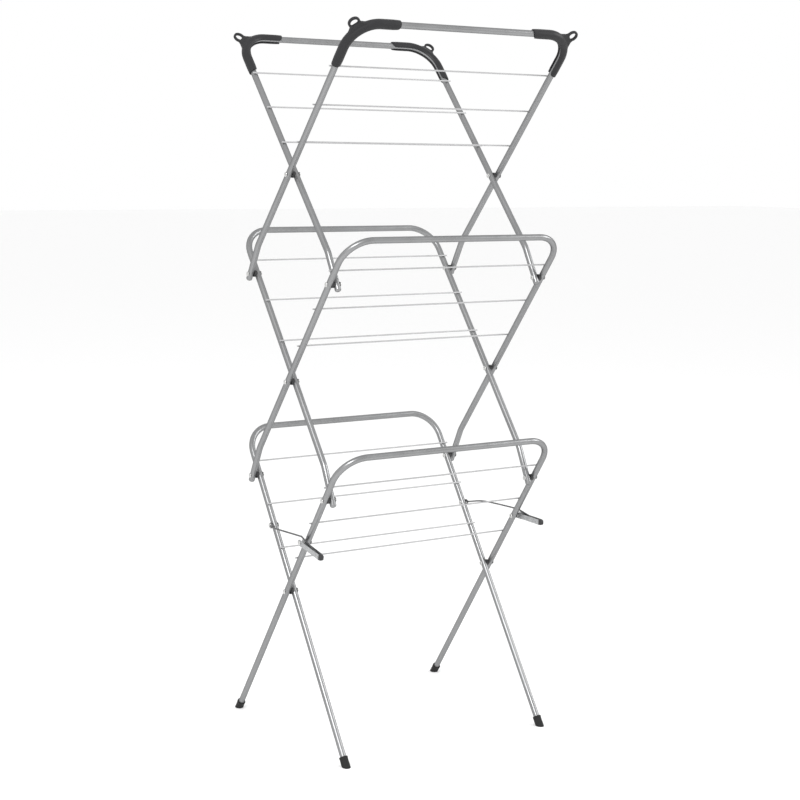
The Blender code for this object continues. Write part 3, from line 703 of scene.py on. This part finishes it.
def channel(build, middle):
    """The folded strip, from its rounded tail to where the finger tip begins."""
    stations = []
    for step in range(1, 10):
        turn = math.pi / 2 * step / 9
        half = max(LEVER_TAIL_RADIUS * math.sin(turn), LEVER_TAIL_RADIUS / 4)
        stations.append((LEVER_TAIL - LEVER_TAIL_RADIUS * (1 - math.cos(turn)), half, -half))
    stations.append((-LEVER_NECK, LEVER_NECK_HALF, -LEVER_NECK_HALF))
    stations.append((-LEVER_STRAIGHT, LEVER_HIGH, LEVER_LOW))
    stations.append((-LEVER_BODY, LEVER_HIGH, LEVER_LOW))
    rings = []
    for y, top, bottom in stations:
        outside, inside = channel_section(top, bottom)
        loop = outside + [(-x, z) for x, z in reversed(outside)]
        back = [(-x, z) for x, z in inside] + [(x, z) for x, z in reversed(inside)]
        rings.append([build.verts.new((middle + x, y, z)) for x, z in loop + back])
    count = len(rings[0])
    for ring, following in zip(rings, rings[1:]):
        for step in range(count):
            after = (step + 1) % count
            build.faces.new((ring[step], ring[after], following[after], following[step]))
    half = count // 2
    for ring in (rings[0], rings[-1]):
        for step in range(half - 1):
            build.faces.new((ring[step], ring[step + 1], ring[count - 2 - step], ring[count - 1 - step]))


def finger_tip(build, middle):
    """The moulded end of the lever: a rounded block, shouldered at the strip."""
    rings = []
    stations = [(-LEVER_BODY - PIECE_GAP, 1.0, 1.0), (-LEVER_BODY - 2 * PIECE_GAP, 1.03, 1.02)]
    length = LEVER_TIP - LEVER_BODY
    for step in range(1, 9):
        turn = math.pi / 2 * step / 8
        shrink = math.cos(turn) ** 0.55 if step < 8 else 0.18
        stations.append((-LEVER_BODY - length * (0.15 + 0.85 * math.sin(turn)), shrink, shrink))
    for y, wide, tall in stations:
        ring = []
        for step in range(TIP_SIDES):
            turn = 2 * math.pi * step / TIP_SIDES
            x = math.copysign(abs(math.cos(turn)) ** 0.45, math.cos(turn)) * LEVER_HALF * wide
            z = math.copysign(abs(math.sin(turn)) ** 0.45, math.sin(turn)) * LEVER_HIGH * tall
            ring.append(build.verts.new((middle + x, y, z)))
        rings.append(ring)
    for ring, following in zip(rings, rings[1:]):
        for step in range(TIP_SIDES):
            after = (step + 1) % TIP_SIDES
            build.faces.new((ring[step], ring[after], following[after], following[step]))
    build.faces.new(rings[0][::-1])
    build.faces.new(rings[-1])


steel_strip = pressed_steel()
lever_pivots = {}
for side_name, side in (("left", -1), ("right", 1)):
    pivot = places[side_name + "_lever_swing"]
    lever_pivots[side_name] = Matrix.Translation(pivot) @ Matrix.Rotation(DROOPS[side_name], 4, "X")
    body = side_name + "_lever"
    build = bmesh.new()
    channel(build, side * LEVER_MIDDLE)
    lever = finish_piece(side_name + "_channel", build, steel_strip, 35.0)
    build = bmesh.new()
    finger_tip(build, side * LEVER_MIDDLE)
    tip = finish_piece(side_name + "_finger_tip", build, nylon, 50.0)
    build = bmesh.new()
    stub = [Vector((side * (LEVER_MIDDLE + x), -LEVER_ARM, 0))
            for x in (0.0034, LEVER_HALF, LEVER_HALF + 0.0010)]
    sweep_round(build, stub, (0.0014, 0.0015, 0.0011), 16, (0, 0, 1))
    peen = finish_piece(side_name + "_hook_end", build, zinc)
    for piece, slot, nodes in ((lever, "zinc_lever", (side_name + "_lock_lever",)),
                               (tip, "charcoal_plastic", (side_name + "_lever_tip",)),
                               (peen, "dark_wire", ())):
        piece.matrix_world = lever_pivots[side_name]
        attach(piece, body)
        if nodes:
            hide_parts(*nodes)


# ---- Stay wires and their rivets ----
# A dark steel wire runs from an eye on the back leg's rivet, past the front leg, over the
# lever's rivet and down into the lever, where its end is hooked.  Pulled over centre, it
# holds the lowest X open.
STAY_RADIUS = 0.0016
EYE_WASHER = 0.0006
STAY_EXIT = 0.012
STAY_EXIT_RISE = 0.0030
STAY_CROSS = 0.040
STAY_CROSS_RISE = 0.0065
STAY_CREST = 0.0115
STAY_CREST_END = 0.0105
PIN_WASHER_RADIUS = 0.0052
PIN_WASHER_GAP = 0.0002
stay_reach = (places["left_stay_swing"] - crossings[0]).length


def dark_wire_finish():
    """Oiled spring wire: nearly black, with uneven patches and fine drawing marks along it."""
    material, nodes, links, shader = node_material("dark_spring_wire", 0.42, 0.80)
    marks = grain(nodes, links, (1, 0.05, 1), 2300.0, 2.0)
    patches = grain(nodes, links, (1, 1, 1), 120.0, 3.0)
    colour = shade_between(nodes, links, patches, (0.085, 0.085, 0.088), (0.16, 0.16, 0.165))
    links.new(colour, shader.inputs["Base Color"])
    rough = shade_between(nodes, links, marks, (0.34, 0.34, 0.34), (0.50, 0.50, 0.50))
    links.new(rough, shader.inputs["Roughness"])
    emboss(nodes, links, shader, marks, 0.00002, 0.5)
    return material


def smooth_route(points, steps):
    """A smooth curve through the points."""
    route = []
    for index in range(len(points) - 1):
        before = points[max(index - 1, 0)]
        start = points[index]
        end = points[index + 1]
        after = points[min(index + 2, len(points) - 1)]
        for step in range(steps):
            t = step / steps
            route.append(0.5 * ((2 * start) + (end - before) * t
                                + (2 * before - 5 * start + 4 * end - after) * t ** 2
                                + (3 * start - before - 3 * end + after) * t ** 3))
    return route + [points[-1]]


dark_wire = dark_wire_finish()
for side_name, side in (("left", -1), ("right", 1)):
    anchor = places[side_name + "_stay_swing"]
    lever_at = places[side_name + "_lever_swing"]
    eye_x = side * (inner_across + TUBE_RADIUS + PIECE_GAP + EYE_WASHER + STAY_RADIUS)
    run_x = side * LEVER_MIDDLE
    eye_turn = SHANK_RADIUS + 0.0004 + STAY_RADIUS
    over = lever_at.y - anchor.y
    hook = lever_pivots[side_name] @ Vector((0.0, -LEVER_ARM, 0.0)) - anchor
    points = []
    for step in range(13):
        angle = math.radians(-120.0 + 270.0 * step / 12)
        points.append(Vector((eye_x, eye_turn * math.cos(angle), eye_turn * math.sin(angle))))
    points.append(Vector((eye_x, -STAY_EXIT, STAY_EXIT_RISE)))
    points.append(Vector((run_x, -STAY_CROSS, STAY_CROSS_RISE)))
    points.append(Vector((run_x, over + 0.010, STAY_CREST)))
    points.append(Vector((run_x, over - 0.004, STAY_CREST_END)))
    points.append(Vector((run_x, hook.y + 0.006, hook.z + (STAY_CREST_END - hook.z) * 0.10)))
    points.append(Vector((run_x, hook.y + 0.0009, hook.z + 0.0003)))
    points.append(Vector((run_x + side * 0.0010, hook.y, hook.z)))
    points.append(Vector((run_x + side * 0.0032, hook.y, hook.z)))
    route = smooth_route(points, 5)
    build = bmesh.new()
    sweep_round(build, route, [STAY_RADIUS] * len(route), 16, (1, 0, 0))
    wire = finish_piece(side_name + "_stay", build, dark_wire)
    wire.matrix_world = Matrix.Translation(anchor)
    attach(wire, side_name + "_stay")
    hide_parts(side_name + "_stay_wire")

    place = Vector((0.0, 0.0, stay_reach))
    build = bmesh.new()
    eye_outside = inner_across + TUBE_RADIUS + PIECE_GAP + EYE_WASHER + 2 * STAY_RADIUS + PIECE_GAP
    profile = rolled_end(inner_across - TUBE_RADIUS - PIECE_GAP, HEAD_RISE, HEAD_RADIUS)
    profile += domed_head(eye_outside, HEAD_RISE, HEAD_RADIUS * 1.05)
    turn_profile(build, profile, side, place)
    rivet = finish_piece(side_name + "_stay_anchor", build, zinc)
    frames[1].fit(rivet, "zinc_rivet", side_name + "_stay_rivet")

    build = bmesh.new()
    outside = LEVER_MIDDLE + LEVER_HALF + PIECE_GAP
    profile = rolled_end(outer_across - TUBE_RADIUS - PIECE_GAP, HEAD_RISE, HEAD_RADIUS)
    profile += domed_head(outside, HEAD_RISE, HEAD_RADIUS)
    turn_profile(build, profile, side, place)
    washer_start = outer_across + TUBE_RADIUS + PIN_WASHER_GAP
    washer_end = LEVER_MIDDLE - LEVER_HALF - PIN_WASHER_GAP
    washer = [(washer_start, SHANK_RADIUS), (washer_start, PIN_WASHER_RADIUS),
              (washer_end, PIN_WASHER_RADIUS), (washer_end, SHANK_RADIUS), (washer_start, SHANK_RADIUS)]
    turn_profile(build, washer, side, place)
    rivet = finish_piece(side_name + "_lever_pin", build, zinc)
    frames[0].fit(rivet, "zinc_rivet", side_name + "_lever_rivet")


# ---- Floor, light and camera ----
# A plain pale studio floor under soft, even light from broad panels above and beside it.
FLOOR_HALF = 30.0
SKY_STRENGTH = 1.0
floor_mesh = bpy.data.meshes.new("studio_floor")
floor_mesh.from_pydata([(-FLOOR_HALF, -FLOOR_HALF, 0), (FLOOR_HALF, -FLOOR_HALF, 0),
                        (FLOOR_HALF, FLOOR_HALF, 0), (-FLOOR_HALF, FLOOR_HALF, 0)], [], [(0, 1, 2, 3)])
floor = bpy.data.objects.new("studio_floor", floor_mesh)
bpy.context.scene.collection.objects.link(floor)
pale, nodes, links, shader = node_material("pale_floor", 0.80, 0.0)
shader.inputs["Base Color"].default_value = (0.96, 0.96, 0.96, 1.0)
floor_mesh.materials.append(pale)

world = bpy.data.worlds.new("studio")
bpy.context.scene.world = world
world.use_nodes = True
sky = world.node_tree.nodes["Background"]
sky.inputs["Color"].default_value = (1.0, 1.0, 1.0, 1.0)
sky.inputs["Strength"].default_value = SKY_STRENGTH


def soft_panel(name, place, aim, size, power):
    """A broad square light panel."""
    light = bpy.data.lights.new(name, "AREA")
    light.shape = "SQUARE"
    light.size = size
    light.energy = power
    panel = bpy.data.objects.new(name, light)
    panel.location = place
    panel.rotation_euler = (Vector(aim) - Vector(place)).to_track_quat("-Z", "Y").to_euler()
    bpy.context.scene.collection.objects.link(panel)


soft_panel("key_panel", (-2.6, -2.4, 3.2), (0, 0, 0.7), 1.6, 95.0)
soft_panel("fill_panel", (3.0, -1.6, 2.2), (0, 0, 0.7), 1.4, 35.0)

VIEW_TURN = math.radians(32.58)
VIEW_DIP = math.radians(-7.01)
VIEW_ROLL = math.radians(0.70)
VIEW_PLACE = (-1.745, -2.750, 1.119)
VIEW_LENS = 74.75
VIEW_SHIFT = -0.045
ahead = Vector((math.sin(VIEW_TURN) * math.cos(VIEW_DIP), math.cos(VIEW_TURN) * math.cos(VIEW_DIP),
                math.sin(VIEW_DIP)))
level = Vector((math.cos(VIEW_TURN), -math.sin(VIEW_TURN), 0.0))
right = math.cos(VIEW_ROLL) * level + math.sin(VIEW_ROLL) * level.cross(ahead)
above = right.cross(ahead)
camera_data = bpy.data.cameras.new("studio_camera")
camera_data.sensor_width = 36.0
camera_data.lens = VIEW_LENS
camera_data.shift_y = VIEW_SHIFT
camera = bpy.data.objects.new("studio_camera", camera_data)
bpy.context.scene.collection.objects.link(camera)
turn = Matrix((right, above, -ahead)).transposed().to_4x4()
camera.matrix_world = Matrix.Translation(VIEW_PLACE) @ turn
bpy.context.scene.camera = camera
bpy.context.scene.view_settings.view_transform = "Standard"
